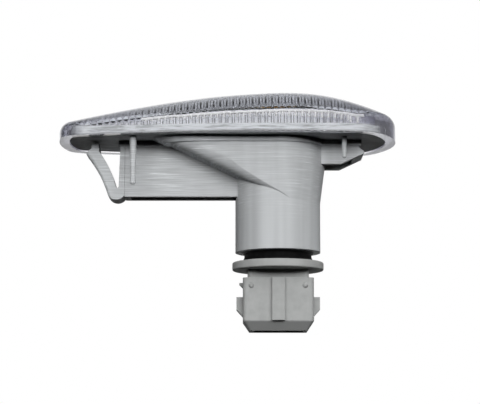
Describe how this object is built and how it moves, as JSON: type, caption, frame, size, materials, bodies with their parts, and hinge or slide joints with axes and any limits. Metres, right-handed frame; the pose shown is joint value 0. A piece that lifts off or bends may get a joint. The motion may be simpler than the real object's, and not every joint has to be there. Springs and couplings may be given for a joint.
{
  "type": "side repeater lamp",
  "caption": "Clear domed side repeater lamp for a car wing, with a fluted lens, grey snap-in housing, sealed bulb holder and keyed connector.",
  "frame": {"origin": "middle of the lens rim's outline, on the plane of the wing panel that the rim sits on", "axes": "+Z out of the panel through the lens, +X along the lens towards the fixed hook, connector towards -Z"},
  "size_m": [0.0775, 0.036, 0.0549],
  "materials": {
    "lens_clear": "clear moulded acrylic, polished outside, fluted inside",
    "housing_grey": "light grey moulded plastic with fine drag marks",
    "holder_grey": "mid grey moulded plastic, fine matt texture",
    "seal_black": "black moulded rubber",
    "terminal_brass": "tinned brass strip",
    "bulb_amber": "amber coated glass",
    "bulb_wire": "drawn wire"
  },
  "bodies": {
    "root": {"lens": "lens_clear", "housing": "housing_grey", "seal_ring": "seal_black", "bulb_holder": "holder_grey", "terminal_left": "terminal_brass", "terminal_right": "terminal_brass", "bulb_glass": "bulb_amber", "bulb_filament": "bulb_wire", "bulb_lead_left": "bulb_wire", "bulb_lead_right": "bulb_wire"}
  },
  "joints": []
}
